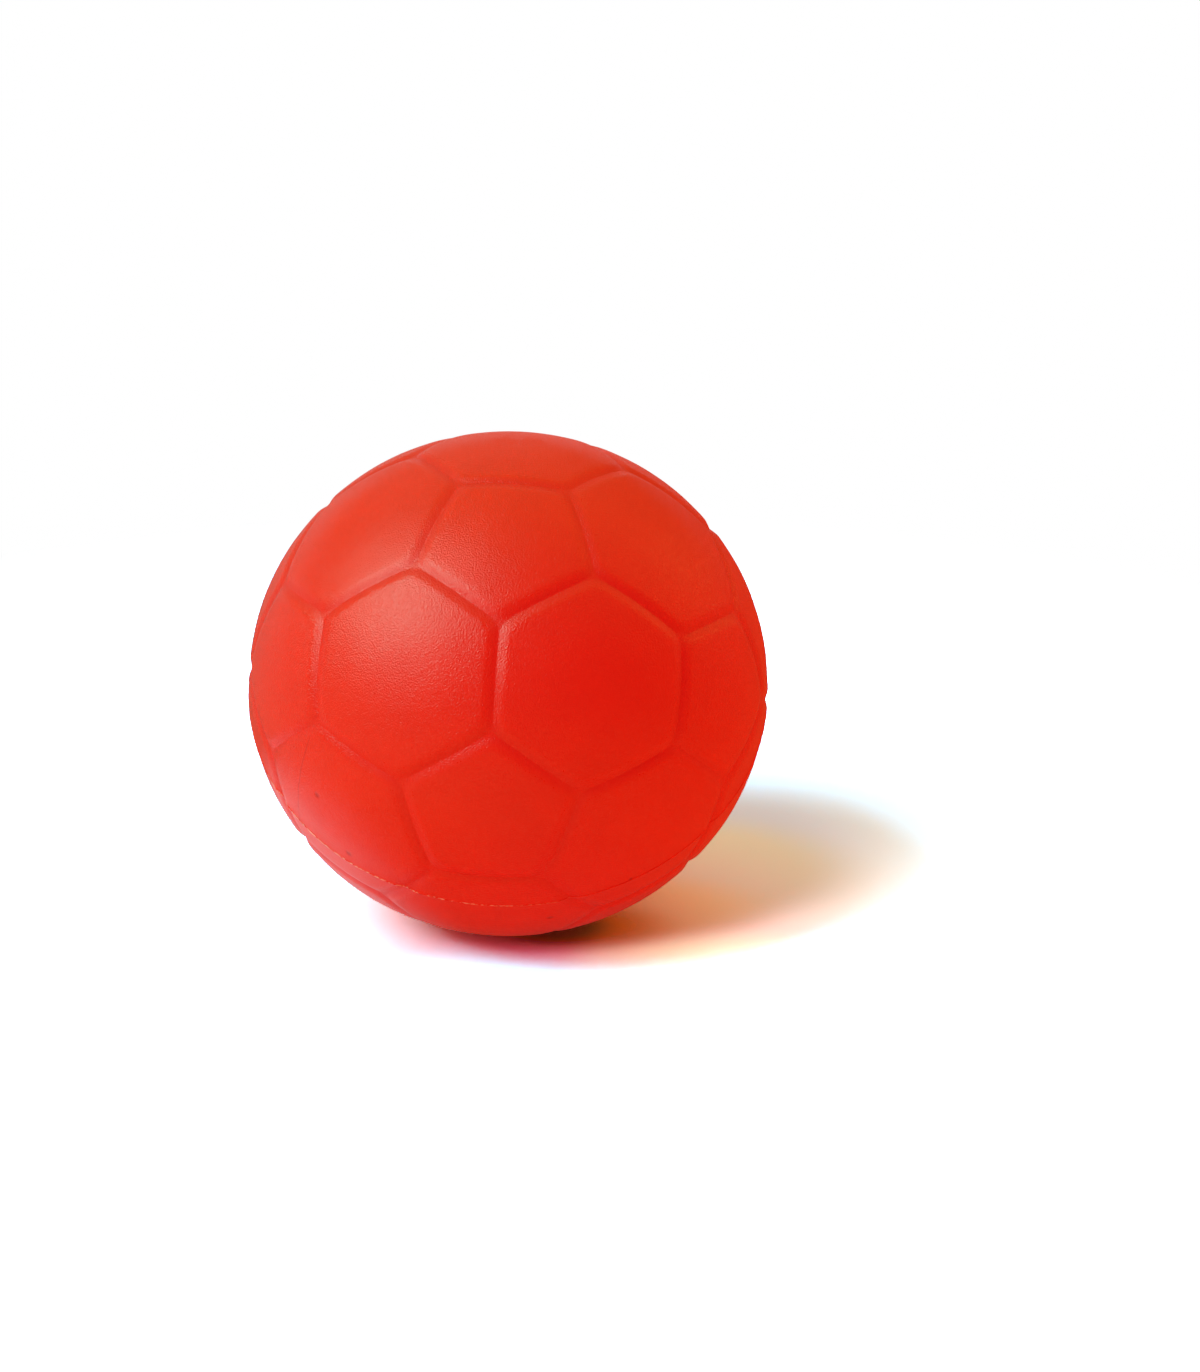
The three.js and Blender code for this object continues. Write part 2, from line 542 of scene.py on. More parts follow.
class NodeSheet:
    """A node tree being written, with short calls for adding and linking nodes."""

    # A Mix node has sockets for every kind of data. These are its sockets for colours.
    MIX_AMOUNT = 0
    MIX_FIRST = 6
    MIX_SECOND = 7
    MIX_RESULT = 2
    NO_VECTOR = (0.0, 0.0, 0.0)

    def __init__(self, tree: bpy.types.NodeTree) -> None:
        """Start on an emptied tree."""
        self.tree = tree
        tree.nodes.clear()

    @classmethod
    def of_material(cls, name: str) -> tuple[bpy.types.Material, NodeSheet]:
        """Make a material.

        Args:
            name: The material's name.

        Returns:
            The material and its empty node tree.
        """
        material = bpy.data.materials.new(name)
        material.use_nodes = True
        return material, cls(material.node_tree)

    def add(self, kind: str, **settings: object) -> bpy.types.Node:
        """Add a node.

        Args:
            kind: Blender's node type name.
            settings: Node properties by name.

        Returns:
            The node.
        """
        node = self.tree.nodes.new(kind)
        for name, value in settings.items():
            setattr(node, name, value)
        return node

    def feed(self, node: bpy.types.Node, socket: str | int, value: object) -> None:
        """Link an output to an input, or set the input to a constant."""
        if isinstance(value, bpy.types.NodeSocket):
            self.tree.links.new(value, node.inputs[socket])
        else:
            node.inputs[socket].default_value = value

    def fill(self, node: bpy.types.Node, **inputs: object) -> bpy.types.Node:
        """Feed several inputs of a node.

        Args:
            node: The node.
            inputs: Outputs or constants by the input's name, with underscores for spaces.

        Returns:
            The node.
        """
        for name, value in inputs.items():
            self.feed(node, name.replace("_", " "), value)
        return node

    def object_place(self) -> bpy.types.NodeSocket:
        """Add the object's own coordinates and return them."""
        return self.add("ShaderNodeTexCoord").outputs["Object"]

    def axes(self, vector: bpy.types.NodeSocket) -> list[bpy.types.NodeSocket]:
        """Split a vector and return its X, Y and Z."""
        node = self.add("ShaderNodeSeparateXYZ")
        self.feed(node, 0, vector)
        return list(node.outputs)

    def math(
        self, operation: str, first: object, second: object = 0.0, third: object = 0.0
    ) -> bpy.types.NodeSocket:
        """Add a Math node and return its value."""
        node = self.add("ShaderNodeMath", operation=operation)
        for index, value in enumerate((first, second, third)):
            self.feed(node, index, value)
        return node.outputs[0]

    def vector_math(
        self, operation: str, first: object, second: object = NO_VECTOR, third: object = NO_VECTOR
    ) -> bpy.types.Node:
        """Add a Vector Math node and return it."""
        node = self.add("ShaderNodeVectorMath", operation=operation)
        for index, value in enumerate((first, second, third)):
            self.feed(node, index, value)
        return node

    def ease(self, value: object, low: object, high: object) -> bpy.types.NodeSocket:
        """Add a Map Range node that eases a value from 0 at one end to 1 at the other."""
        node = self.add("ShaderNodeMapRange", interpolation_type="SMOOTHSTEP")
        return self.fill(node, Value=value, From_Min=low, From_Max=high).outputs["Result"]

    def noise(self, place: object, scale: object, detail: float) -> bpy.types.NodeSocket:
        """Add a Noise Texture and return its value."""
        node = self.add("ShaderNodeTexNoise")
        return self.fill(node, Vector=place, Scale=scale, Detail=detail).outputs["Fac"]

    def tint(self, amount: object, first: object, second: object) -> bpy.types.NodeSocket:
        """Add a colour Mix node and return its colour."""
        node = self.add("ShaderNodeMix", data_type="RGBA")
        self.feed(node, self.MIX_AMOUNT, amount)
        self.feed(node, self.MIX_FIRST, first)
        self.feed(node, self.MIX_SECOND, second)
        return node.outputs[self.MIX_RESULT]

    def blend(self, amount: object, first: bpy.types.Node, second: bpy.types.Node) -> bpy.types.Node:
        """Add a Mix Shader between two shader nodes and return it."""
        node = self.add("ShaderNodeMixShader")
        self.feed(node, 0, amount)
        self.feed(node, 1, first.outputs[0])
        self.feed(node, 2, second.outputs[0])
        return node

    def bump(
        self, height: object, distance: float, strength: float = 1.0, under: object = None
    ) -> bpy.types.NodeSocket:
        """Add a Bump node, over another normal if one is given, and return its normal."""
        node = self.fill(self.add("ShaderNodeBump"), Height=height, Distance=distance, Strength=strength)
        if under is not None:
            self.feed(node, "Normal", under)
        return node.outputs["Normal"]

    def show(self, surface: bpy.types.Node, output: str = "ShaderNodeOutputMaterial") -> None:
        """Make a shader node the surface of the material, or of the world by its output node."""
        self.feed(self.add(output), "Surface", surface.outputs[0])


class SharedEffects:
    """Shader node groups that the finishes share, each built once."""

    FINE_GRAIN_RATIO = 2.1
    COARSE_GRAIN_SHARE = 0.65
    FINE_GRAIN_SHARE = 0.35
    PATCHES_PER_METRE = 55.0
    PATCH_DETAIL = 3.0
    HOLE_FLOOR_SHARE = 0.15

    def __init__(self) -> None:
        """Build every group."""
        self.grain = self._moulded_grain()
        self.pinhole = self._pinhole()

    @staticmethod
    def place(sheet: NodeSheet, group: bpy.types.NodeTree, **inputs: object) -> bpy.types.Node:
        """Place a group in a material.

        Args:
            sheet: The material's nodes.
            group: The node group.
            inputs: Values or outputs for the group's inputs, with underscores for spaces.

        Returns:
            The group node.
        """
        return sheet.fill(sheet.add("ShaderNodeGroup", node_tree=group), **inputs)

    @staticmethod
    def _new_group(name: str, inputs: dict[str, str], outputs: dict[str, str]) -> bpy.types.NodeTree:
        """Make an empty group with named sockets.

        Args:
            name: The group's name.
            inputs: Socket types by input name.
            outputs: Socket types by output name.

        Returns:
            The group.
        """
        group = bpy.data.node_groups.new(name, "ShaderNodeTree")
        for label, kind in inputs.items():
            group.interface.new_socket(label, in_out="INPUT", socket_type=kind)
        for label, kind in outputs.items():
            group.interface.new_socket(label, in_out="OUTPUT", socket_type=kind)
        return group

    def _moulded_grain(self) -> bpy.types.NodeTree:
        """Fine grain of a moulded skin, with slow patches of tone."""
        group = self._new_group(
            "moulded_grain",
            {"Place": "NodeSocketVector", "Grains per Metre": "NodeSocketFloat"},
            {"Height": "NodeSocketFloat", "Patches": "NodeSocketFloat"},
        )
        sheet = NodeSheet(group)
        given = sheet.add("NodeGroupInput")
        result = sheet.add("NodeGroupOutput")
        place = given.outputs["Place"]
        grains = given.outputs["Grains per Metre"]
        coarse = sheet.noise(place, grains, 0.0)
        fine = sheet.noise(place, sheet.math("MULTIPLY", grains, self.FINE_GRAIN_RATIO), 0.0)
        coarse_part = sheet.math("MULTIPLY", coarse, self.COARSE_GRAIN_SHARE)
        fine_part = sheet.math("MULTIPLY", fine, self.FINE_GRAIN_SHARE)
        sheet.feed(result, "Height", sheet.math("ADD", coarse_part, fine_part))
        sheet.feed(result, "Patches", sheet.noise(place, self.PATCHES_PER_METRE, self.PATCH_DETAIL))
        return group

    def _pinhole(self) -> bpy.types.NodeTree:
        """One small burst bubble in a skin."""
        group = self._new_group(
            "pinhole",
            {"Place": "NodeSocketVector", "Middle": "NodeSocketVector", "Radius": "NodeSocketFloat"},
            {"Hole": "NodeSocketFloat"},
        )
        sheet = NodeSheet(group)
        given = sheet.add("NodeGroupInput")
        result = sheet.add("NodeGroupOutput")
        away = sheet.vector_math("DISTANCE", given.outputs["Place"], given.outputs["Middle"])
        floor = sheet.math("MULTIPLY", given.outputs["Radius"], self.HOLE_FLOOR_SHARE)
        rim = sheet.ease(away.outputs["Value"], given.outputs["Radius"], floor)
        sheet.feed(result, "Hole", rim)
        return group


@dataclass(frozen=True)
class Pinhole:
    """A burst bubble seen in the skin, placed by bearing and height on the ball in degrees."""

    bearing: float
    height: float
    radius: float


@dataclass(frozen=True)
class SkinFinish:
    """Satin red moulded skin with a fine grain, a few pinholes and one knit line, and painted shade in its
    grooves and pinholes.
    """

    pose: RestingPose
    red: Colour = (0.87, 0.027, 0.006, 1.0)
    deep_red: Colour = (0.85, 0.025, 0.006, 1.0)
    # Painted shade: deeper red for the grooves, where shade falls.
    groove_shade_red: Colour = (0.84, 0.019, 0.005, 1.0)
    # Painted shade: darker red for the inside of the pinholes.
    hole_shade_red: Colour = (0.62, 0.010, 0.003, 1.0)
    knit_red: Colour = (0.72, 0.015, 0.004, 1.0)
    patch_span: Span = (0.3, 0.7)
    groove_shade_span: Span = (0.05, 0.8)
    grains_per_metre: float = 1700.0
    grain_height: float = 0.00024
    roughness: float = 0.365
    grain_roughness: float = 0.12
    shoulder_smoothness: float = 0.07
    shoulder_rise: Span = (0.0, 0.05)
    shoulder_fall: Span = (0.40, 0.15)
    diffuse_roughness: float = 1.0
    specular_level: float = 0.78
    pinholes: tuple[Pinhole, ...] = (
        Pinhole(-46.1, -10.9, 0.0019),
        Pinhole(-41.6, -25.7, 0.0020),
        Pinhole(-32.1, 0.9, 0.0010),
        Pinhole(-23.2, -54.2, 0.0017),
        Pinhole(11.7, -44.5, 0.0020),
        Pinhole(31.5, -32.0, 0.0015),
    )
    hole_depth: float = 0.00012
    knit_normal: tuple[float, float, float] = (0.6141, -0.6816, -0.4079)
    knit_length: float = 0.0505
    knit_half_width: float = 0.00050
    knit_start: float = 0.001
    knit_fade: float = 0.012
    knit_wander: float = 0.0016
    knit_wanders_per_metre: float = 90.0

    def build(self, effects: SharedEffects) -> bpy.types.Material:
        """Make the material.

        Args:
            effects: The shared node groups.

        Returns:
            The skin's material.
        """
        material, sheet = NodeSheet.of_material("red_skin")
        place = sheet.object_place()
        grain = effects.place(sheet, effects.grain, Place=place, Grains_per_Metre=self.grains_per_metre)
        holes = self._pinholes(sheet, effects, place)
        patches = sheet.ease(grain.outputs["Patches"], *self.patch_span)
        colour = sheet.tint(patches, self.red, self.deep_red)
        sunk = sheet.add("ShaderNodeAttribute", attribute_name=GROOVE_SHARE).outputs["Fac"]
        # Painted shade: the skin turns deeper red with the groove's depth.
        colour = sheet.tint(sheet.ease(sunk, *self.groove_shade_span), colour, self.groove_shade_red)
        colour = sheet.tint(self._knit_line(sheet, place), colour, self.knit_red)
        # Painted shade: each pinhole is coloured darker, as the shade inside a pit.
        colour = sheet.tint(holes, colour, self.hole_shade_red)
        rough = self._roughness(sheet, grain.outputs["Height"], sunk)
        normal = sheet.bump(grain.outputs["Height"], self.grain_height)
        normal = sheet.bump(sheet.math("SUBTRACT", 1.0, holes), self.hole_depth, under=normal)
        shader = sheet.add("ShaderNodeBsdfPrincipled")
        sheet.fill(shader, Base_Color=colour, Roughness=rough, Normal=normal)
        sheet.fill(shader, Diffuse_Roughness=self.diffuse_roughness, Specular_IOR_Level=self.specular_level)
        sheet.show(shader)
        return material

    def _roughness(
        self, sheet: NodeSheet, grain: bpy.types.NodeSocket, sunk: bpy.types.NodeSocket
    ) -> bpy.types.NodeSocket:
        """Roughness that follows the grain, and is lower on the shoulders of the grooves, where wear has
        smoothed them.

        Args:
            sheet: The material's nodes.
            grain: The grain's height.
            sunk: The share of the groove's depth.

        Returns:
            The roughness output.
        """
        rise = sheet.ease(sunk, *self.shoulder_rise)
        shoulder = sheet.math("MULTIPLY", rise, sheet.ease(sunk, *self.shoulder_fall))
        lowest = self.roughness - self.grain_roughness / 2
        smoothed = sheet.math("MULTIPLY_ADD", shoulder, -self.shoulder_smoothness, lowest)
        return sheet.math("MULTIPLY_ADD", grain, self.grain_roughness, smoothed)

    def _pinholes(
        self, sheet: NodeSheet, effects: SharedEffects, place: bpy.types.NodeSocket
    ) -> bpy.types.NodeSocket | float:
        """Mask of every pinhole.

        Args:
            sheet: The material's nodes.
            effects: The shared node groups.
            place: Object coordinates.

        Returns:
            The mask's output, or 0 where there are no pinholes.
        """
        mask: bpy.types.NodeSocket | float = 0.0
        for hole in self.pinholes:
            middle = self.pose.place(hole.bearing, hole.height)
            node = effects.place(sheet, effects.pinhole, Place=place, Middle=middle, Radius=hole.radius)
            mask = sheet.math("MAXIMUM", mask, node.outputs["Hole"])
        return mask

    def _knit_line(self, sheet: NodeSheet, place: bpy.types.NodeSocket) -> bpy.types.NodeSocket:
        """Mask of the thin line where two flows of foam met, from a panel corner to the parting line.

        Args:
            sheet: The material's nodes.
            place: Object coordinates.

        Returns:
            The mask's output.
        """
        wander = sheet.add("ShaderNodeTexNoise")
        sheet.fill(wander, Vector=place, Scale=self.knit_wanders_per_metre)
        step = (self.knit_wander,) * 3
        moved = sheet.vector_math("MULTIPLY_ADD", wander.outputs["Color"], step, place)
        middle = self.pose.centre + Vector(step) / 2
        local = sheet.vector_math("SUBTRACT", moved.outputs[0], middle).outputs[0]
        off = sheet.vector_math("DOT_PRODUCT", local, self.knit_normal).outputs["Value"]
        along = sheet.vector_math("DOT_PRODUCT", local, self.pose.mould_axis).outputs["Value"]
        across = sheet.ease(sheet.math("ABSOLUTE", off), self.knit_half_width, 0.0)
        start = sheet.ease(along, 0.0, self.knit_start)
        end = sheet.ease(along, self.knit_length, self.knit_length - self.knit_fade)
        left = sheet.math("LESS_THAN", sheet.axes(place)[0], 0.0)
        mask = sheet.math("MULTIPLY", across, sheet.math("MULTIPLY", start, end))
        return sheet.math("MULTIPLY", mask, left)


@dataclass(frozen=True)
class FlashFinish:
    """The same skin squeezed thin, with a painted glint of paler colour in places on one side of the ball.
    """

    red: Colour = (0.87, 0.030, 0.010, 1.0)
    # Painted glint: pale colour for grainy highlights along the lit side of the fin.
    glint_pink: Colour = (1.0, 0.48, 0.38, 1.0)
    glint_side_span: Span = (0.035, -0.015)
    glint_grain_span: Span = (0.42, 0.60)
    grains_per_metre: float = 900.0
    grain_height: float = 0.00012
    grain_strength: float = 0.5
    roughness: float = 0.38

    def build(self, effects: SharedEffects) -> bpy.types.Material:
        """Make the material.

        Args:
            effects: The shared node groups.

        Returns:
            The flash's material.
        """
        material, sheet = NodeSheet.of_material("red_flash")
        place = sheet.object_place()
        grain = effects.place(sheet, effects.grain, Place=place, Grains_per_Metre=self.grains_per_metre)
        # Painted glint: paler colour in grainy spots, on the lit side only.
        glint_side_share = sheet.ease(sheet.axes(place)[0], *self.glint_side_span)
        height = grain.outputs["Height"]
        glint_share = sheet.math("MULTIPLY", glint_side_share, sheet.ease(height, *self.glint_grain_span))
        colour = sheet.tint(glint_share, self.red, self.glint_pink)
        normal = sheet.bump(height, self.grain_height, self.grain_strength)
        shader = sheet.add("ShaderNodeBsdfPrincipled")
        sheet.fill(shader, Base_Color=colour, Roughness=self.roughness, Normal=normal)
        sheet.show(shader)
        return material


@dataclass(frozen=True)
class FoamFinish:
    """Matt foam with small round cells, and painted shade in their pits."""

    light: Colour = (0.80, 0.14, 0.085, 1.0)
    # Painted shade: darker red for the hollow middles of the cells.
    pit_shade_red: Colour = (0.42, 0.035, 0.02, 1.0)
    cells_per_metre: float = 700.0
    cell_span: Span = (0.1, 0.55)
    cell_depth: float = 0.0006
    cell_strength: float = 0.9
    roughness: float = 0.92

    def build(self) -> bpy.types.Material:
        """Make the material.

        Returns:
            The foam's material.
        """
        material, sheet = NodeSheet.of_material("red_foam")
        place = sheet.object_place()
        cells = sheet.add("ShaderNodeTexVoronoi", feature="SMOOTH_F1")
        sheet.fill(cells, Vector=place, Scale=self.cells_per_metre)
        depth = sheet.ease(cells.outputs["Distance"], *self.cell_span)
        # Painted shade: the cells' pits, low in the bump, are coloured dark.
        colour = sheet.tint(depth, self.pit_shade_red, self.light)
        normal = sheet.bump(depth, self.cell_depth, self.cell_strength)
        shader = sheet.add("ShaderNodeBsdfPrincipled")
        sheet.fill(shader, Base_Color=colour, Roughness=self.roughness, Normal=normal)
        sheet.show(shader)
        return material


@dataclass(frozen=True)
class PaintedFloorPatch:
    """An oval patch of painted shadow and light on the floor, with a soft edge, measured from its middle
    along its depth.
    """

    colour: Colour
    middle: tuple[float, float]
    stretch: float
    outer: float
    inner: float

    def mask(self, sheet: NodeSheet, place: bpy.types.NodeSocket) -> bpy.types.NodeSocket:
        """Strength of the patch, from 0 at its outer edge to 1 at its inner edge.

        Args:
            sheet: The material's nodes.
            place: Object coordinates.

        Returns:
            The mask's output.
        """
        off = sheet.vector_math("SUBTRACT", place, (*self.middle, 0.0)).outputs[0]
        shaped = sheet.vector_math("MULTIPLY", off, (1.0 / self.stretch, 1.0, 0.0)).outputs[0]
        away = sheet.vector_math("LENGTH", shaped).outputs["Value"]
        return sheet.ease(away, self.outer, self.inner)


@dataclass(frozen=True)
class FloorFinish:
    """White studio floor that keeps the ball's shadow, with painted shadow and light round the ball, and
    fades to white.
    """

    # Painted bounce light: above one in red, so the floor throws more light onto the ball than falls on it.
    boosted_bounce_warm: Colour = (1.25, 0.78, 0.40, 1.0)
    seen_white: Colour = (1.85, 6.6, 13.5, 1.0)
    # Painted shadow: darker, warm patches beside and under the ball; the third patch, in front, is painted
    # light.
    painted_shadow_and_light: tuple[PaintedFloorPatch, ...] = (
        PaintedFloorPatch((0.87, 2.88, 6.9, 1.0), (0.079, 0.082), 1.37, 0.120, 0.020),
        PaintedFloorPatch((0.97, 2.98, 4.7, 1.0), (0.061, 0.037), 1.37, 0.070, 0.040),
        PaintedFloorPatch((1.90, 10.8, 16.0, 1.0), (0.022, -0.188), 1.5, 0.178, 0.142),
        PaintedFloorPatch((1.90, 3.2, 4.4, 1.0), (-0.055, -0.016), 1.0, 0.085, 0.022),
        PaintedFloorPatch((1.06, 2.9, 3.2, 1.0), (0.029, -0.001), 1.96, 0.044, 0.023),
        PaintedFloorPatch((0.90, 1.50, 0.47, 1.0), (0.021, -0.016), 1.82, 0.0283, 0.0106),
        PaintedFloorPatch((0.36, 0.95, 0.42, 1.0), (0.018, -0.017), 1.3, 0.0200, 0.0080),
    )
    # Painted reflections: colours of the floor that only the ball's gloss sees.
    mirrored_white: Colour = (0.85, 0.88, 0.94, 1.0)
    mirrored_back: Colour = (0.30, 0.22, 0.16, 1.0)
    mirrored_left: Colour = (0.26, 0.28, 0.24, 1.0)
    mirrored_right: Colour = (0.62, 0.09, 0.03, 1.0)
    mirrored_dim: Colour = (0.09, 0.08, 0.06, 1.0)
    spot_middle: tuple[float, float, float] = (-0.112, 0.028, 0.0)
    spot_span: Span = (0.12, 0.05)
    back_span: Span = (0.15, 0.32)
    left_span: Span = (-0.17, -0.28)
    right_span: Span = (0.02, 0.12)
    fade_span: Span = (0.30, 0.55)

    def build(self) -> bpy.types.Material:
        """Make the material.

        Returns:
            The floor's material.
        """
        material, sheet = NodeSheet.of_material("white_floor")
        place = sheet.object_place()
        away = sheet.vector_math("LENGTH", place).outputs["Value"]
        rays = sheet.add("ShaderNodeLightPath")
        # Painted bounce light: the floor's colour for light that bounces onto the ball.
        boosted_bounce_shader = sheet.fill(sheet.add("ShaderNodeBsdfDiffuse"), Color=self.boosted_bounce_warm)
        # Painted reflection: a glow that only glossy rays see.
        mirrored = sheet.fill(sheet.add("ShaderNodeEmission"), Color=self._mirrored_colour(sheet, place))
        # Painted shadow and light round the ball, seen by the camera only.
        seen = sheet.fill(sheet.add("ShaderNodeBsdfDiffuse"), Color=self._seen_colour_with_painted_shadow(sheet, place))
        glow = sheet.add("ShaderNodeEmission")
        faded = sheet.blend(sheet.ease(away, *self.fade_span), seen, glow)
        lit = sheet.blend(rays.outputs["Is Glossy Ray"], boosted_bounce_shader, mirrored)
        sheet.show(sheet.blend(rays.outputs["Is Camera Ray"], lit, faded))
        return material

    def _mirrored_colour(self, sheet: NodeSheet, place: bpy.types.NodeSocket) -> bpy.types.NodeSocket:
        """Painted reflection in the ball's gloss: white close on the left, pale behind, and warm on the
        right.

        Args:
            sheet: The material's nodes.
            place: Object coordinates.

        Returns:
            The colour's output.
        """
        across, depth, _ = sheet.axes(place)
        behind = sheet.ease(depth, *self.back_span)
        left = sheet.ease(across, *self.left_span)
        right = sheet.ease(across, *self.right_span)
        away = sheet.vector_math("DISTANCE", place, self.spot_middle).outputs["Value"]
        colour = sheet.tint(behind, self.mirrored_dim, self.mirrored_back)
        colour = sheet.tint(left, colour, self.mirrored_left)
        colour = sheet.tint(right, colour, self.mirrored_right)
        return sheet.tint(sheet.ease(away, *self.spot_span), colour, self.mirrored_white)

    def _seen_colour_with_painted_shadow(self, sheet: NodeSheet, place: bpy.types.NodeSocket) -> bpy.types.NodeSocket:
        """Colour that the camera sees: painted shadow, warm beside the ball and deep close under it, and
        painted light in front of it.

        Args:
            sheet: The material's nodes.
            place: Object coordinates.

        Returns:
            The colour's output.
        """
        colour: object = self.seen_white
        for patch in self.painted_shadow_and_light:
            colour = sheet.tint(patch.mask(sheet, place), colour, patch.colour)
        return colour


@dataclass(frozen=True)
class Lamp:
    """Soft panel of light aimed at the ball, placed by its direction from the ball and its distance."""

    name: str
    direction: tuple[float, float, float]
    distance: float
    width: float
    height: float
    power: float
    colour: tuple[float, float, float]
    mirrored: bool = True
    on_floor: bool = True

    def hang(self, target: Vector, floor: bpy.types.Object) -> None:
        """Put the light in the scene.

        Args:
            target: The place that it shines at.
            floor: The floor, which some lights are kept off.
        """
        toward = Vector(self.direction).normalized()
        bpy.ops.object.light_add(type="AREA", location=target + toward * self.distance)
        light = bpy.context.object
        light.name = self.name
        light.data.shape = "RECTANGLE"
        light.data.size = self.width
        light.data.size_y = self.height
        light.data.energy = self.power
        light.data.color = self.colour
        light.rotation_euler = toward.to_track_quat("Z", "Y").to_euler()
        light.visible_glossy = self.mirrored
        if not self.on_floor:
            left_out = bpy.data.collections.new(f"{self.name}_left_out")
            left_out.objects.link(floor)
            left_out.collection_objects[0].light_linking.link_state = "EXCLUDE"
            light.light_linking.receiver_collection = left_out


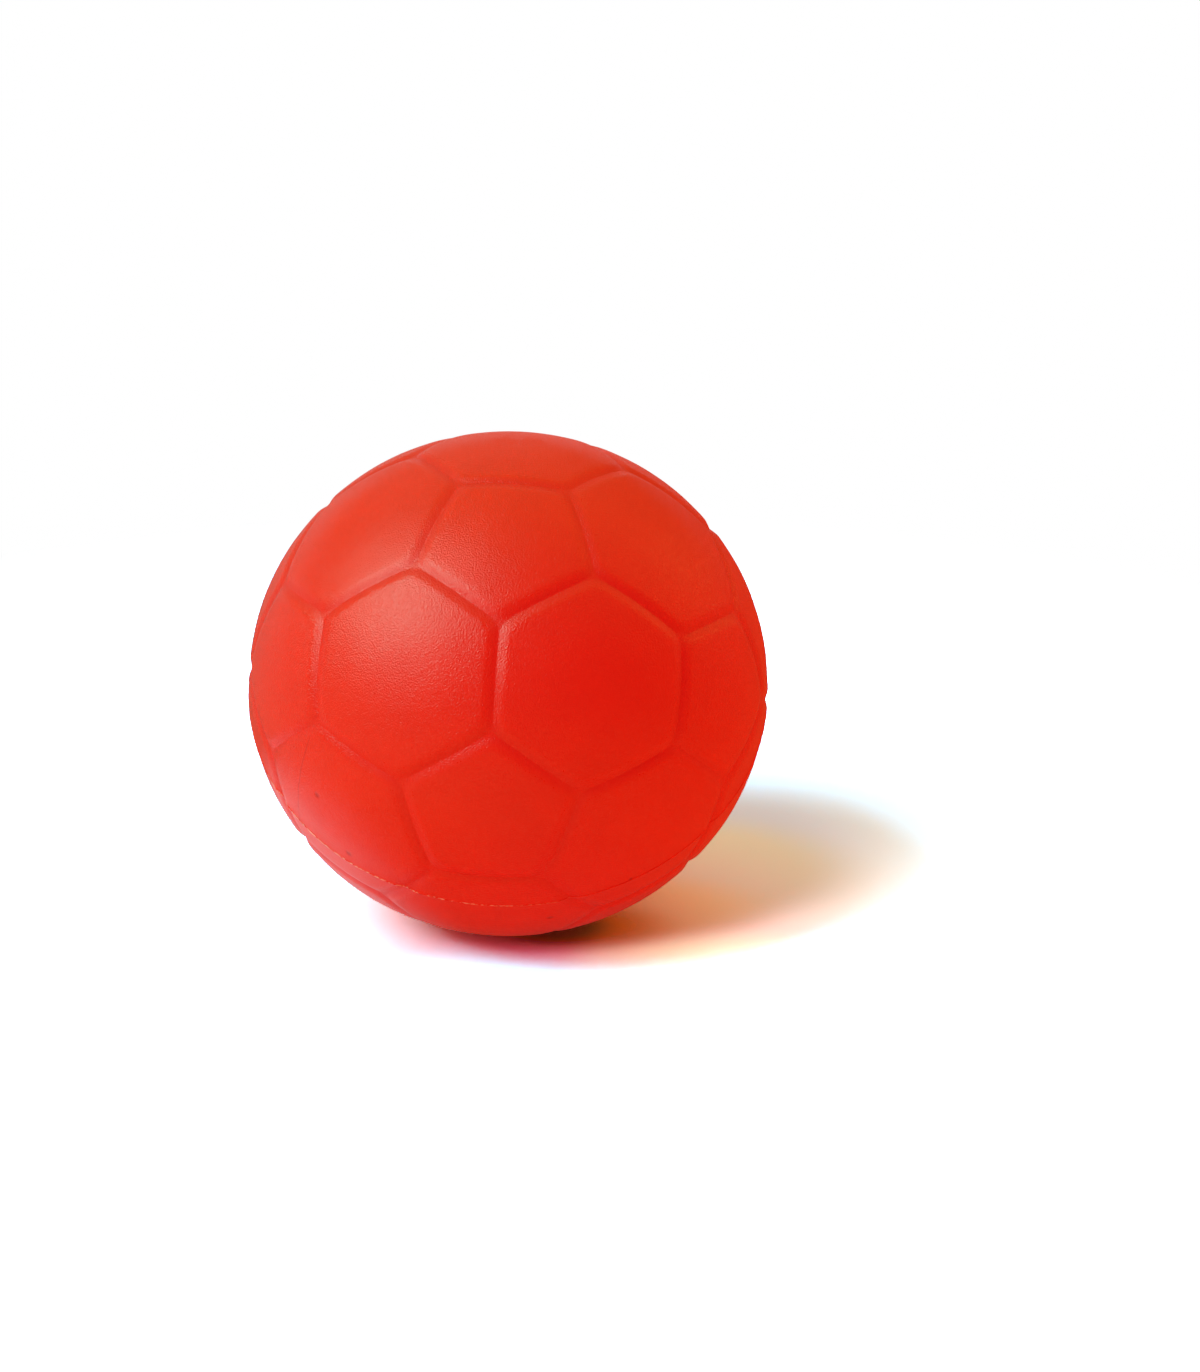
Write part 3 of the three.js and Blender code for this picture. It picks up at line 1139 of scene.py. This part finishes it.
@dataclass
class Studio:
    """Floor, soft light and camera, set as in the photograph."""

    pose: RestingPose
    camera_elevation: float = math.radians(19.8)
    camera_distance: float = 1.195
    pixels_per_metre: float = 2585.0
    ball_pixel: tuple[float, float] = (508.7, 682.3)
    frame_height: float = 0.036
    lamps: tuple[Lamp, ...] = (
        Lamp(
            "soft_box", direction=(-0.63, -0.32, 0.71), distance=1.5, width=0.88, height=0.88,
            power=12.0, colour=(0.47, 1.0, 0.86),
        ),
        Lamp(
            "left_box", direction=(-0.80, -0.10, 0.60), distance=1.6, width=0.80, height=0.60,
            power=16.0, colour=(0.18, 1.0, 0.70), mirrored=False, on_floor=False,
        ),
        Lamp(
            "back_panel", direction=(-0.25, 0.90, 0.50), distance=2.2, width=2.0, height=1.2,
            power=4.6, colour=(1.0, 0.27, 0.29),
        ),
        Lamp(
            "right_panel", direction=(0.80, 0.40, 0.44), distance=1.6, width=0.25, height=0.35,
            power=1.2, colour=(1.0, 0.40, 0.10),
        ),
        Lamp(
            "right_side", direction=(0.85, 0.50, 0.25), distance=1.6, width=1.0, height=1.0,
            power=16.0, colour=(1.0, 0.06, 0.03), mirrored=False, on_floor=False,
        ),
        Lamp(
            "front_panel", direction=(-0.10, -1.0, 0.03), distance=1.6, width=1.2, height=0.3,
            power=5.2, colour=(1.0, 0.03, 0.03), mirrored=False,
        ),
    )
    room_high: Colour = (0.72, 0.32, 0.09, 1.0)
    room_low: Colour = (0.52, 0.12, 0.025, 1.0)
    room_front: Colour = (0.43, 0.01, 0.04, 1.0)
    high_span: Span = (0.3, 0.8)
    front_span: Span = (0.2, -0.6)
    backdrop_white: Colour = (1.0, 1.0, 1.0, 1.0)
    # Painted reflection: warm colour of the backdrop on the right, seen in the ball's gloss only.
    backdrop_right: Colour = (1.0, 0.14, 0.02, 1.0)
    backdrop_behind: Span = (0.0, 0.40)
    backdrop_low: Span = (0.12, 0.02)
    backdrop_warm: Span = (0.10, 0.45)
    floor_side: float = 12.0

    def build(self) -> None:
        """Set up the whole studio."""
        floor = self._floor()
        for lamp in self.lamps:
            lamp.hang(self.pose.centre, floor)
        self._world()
        self._camera()
        bpy.context.scene.view_settings.view_transform = "Standard"

    def _floor(self) -> bpy.types.Object:
        """Lay the floor under the ball and return it."""
        bpy.ops.object.select_all(action="DESELECT")
        bpy.ops.mesh.primitive_plane_add(size=self.floor_side)
        floor = bpy.context.object
        floor.name = "studio_floor"
        floor.data.materials.append(FloorFinish().build())
        return floor

    def _world(self) -> None:
        """Fill the room with warm light and show white behind everything.

        The ball's gloss shows a low white backdrop behind it, with a painted warm reflection on the right.
        """
        world = bpy.data.worlds.new("white_room")
        bpy.context.scene.world = world
        world.use_nodes = True
        sheet = NodeSheet(world.node_tree)
        rays = sheet.add("ShaderNodeLightPath")
        room = sheet.add("ShaderNodeBackground")
        behind = sheet.add("ShaderNodeBackground")
        direction = sheet.add("ShaderNodeTexCoord").outputs["Generated"]
        across, depth, up = sheet.axes(direction)
        sides = sheet.tint(sheet.ease(up, *self.high_span), self.room_low, self.room_high)
        front = sheet.ease(depth, *self.front_span)
        sheet.feed(room, "Color", sheet.tint(front, sides, self.room_front))
        far = sheet.ease(depth, *self.backdrop_behind)
        backdrop = sheet.math("MULTIPLY", far, sheet.ease(up, *self.backdrop_low))
        mirrored = sheet.math("MULTIPLY", rays.outputs["Is Glossy Ray"], backdrop)
        # Painted reflection: the backdrop turns warm on the right, for glossy rays only.
        warm = sheet.math("MULTIPLY", mirrored, sheet.ease(across, *self.backdrop_warm))
        sheet.feed(behind, "Color", sheet.tint(warm, self.backdrop_white, self.backdrop_right))
        shown = sheet.math("MAXIMUM", rays.outputs["Is Camera Ray"], mirrored)
        sheet.show(sheet.blend(shown, room, behind), "ShaderNodeOutputWorld")

    def _camera(self) -> None:
        """Stand the camera at the photograph's angle, with the ball where the photograph has it."""
        rise = self.camera_elevation
        toward = Vector((0.0, -math.cos(rise), math.sin(rise)))
        up = Vector((0.0, math.sin(rise), math.cos(rise)))
        right = Vector((1.0, 0.0, 0.0))
        centre = self.pose.centre
        across = (PHOTO_WIDTH / 2 - self.ball_pixel[0]) / self.pixels_per_metre
        down = (PHOTO_HEIGHT / 2 - self.ball_pixel[1]) / self.pixels_per_metre
        target = centre + right * across - up * down
        bpy.ops.object.camera_add(location=centre + toward * self.camera_distance)
        camera = bpy.context.object
        camera.name = "photo_camera"
        camera.rotation_euler = (camera.location - target).to_track_quat("Z", "Y").to_euler()
        camera.data.sensor_fit = "VERTICAL"
        camera.data.sensor_height = self.frame_height * MILLIMETRES_PER_METRE
        focal_pixels = self.pixels_per_metre * self.camera_distance
        camera.data.lens = focal_pixels / PHOTO_HEIGHT * camera.data.sensor_height
        bpy.context.scene.camera = camera


def dress(piece: bpy.types.Object, node: str, material: bpy.types.Material) -> None:
    """Give a piece its material and tie it to the CAD node that it stands for.

    Args:
        piece: The finished piece.
        node: The CAD node's name.
        material: The piece's material.
    """
    piece.data.materials.clear()
    piece.data.materials.append(material)
    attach(piece, "root")
    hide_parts(node)
    LOG.info("%s: %d faces, for node %s", piece.name, len(piece.data.polygons), node)


def main() -> None:
    """Build every piece in order, then the studio."""
    logging.basicConfig(level=logging.INFO, format="%(name)s: %(message)s")
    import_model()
    pose = RestingPose()
    effects = SharedEffects()
    skin_material = SkinFinish(pose).build(effects)

    moulding = MouldedSkin(pose)
    ball = moulding.panel_ball()
    upper = moulding.skin(ball, MouldHalf.UPPER, "upper_moulded_skin")
    lower = moulding.skin(ball, MouldHalf.LOWER, "lower_moulded_skin")
    flash = PartingFlash(pose).build(ball, "parting_line_flash")
    core = FoamCore(pose).build("cellular_foam_core")
    bpy.data.objects.remove(ball)

    dress(upper, "upper_skin", skin_material)
    dress(lower, "lower_skin", skin_material)
    dress(flash, "parting_flash", FlashFinish().build(effects))
    dress(core, "foam_core", FoamFinish().build())
    Studio(pose).build()


if __name__ == "__main__":
    main()
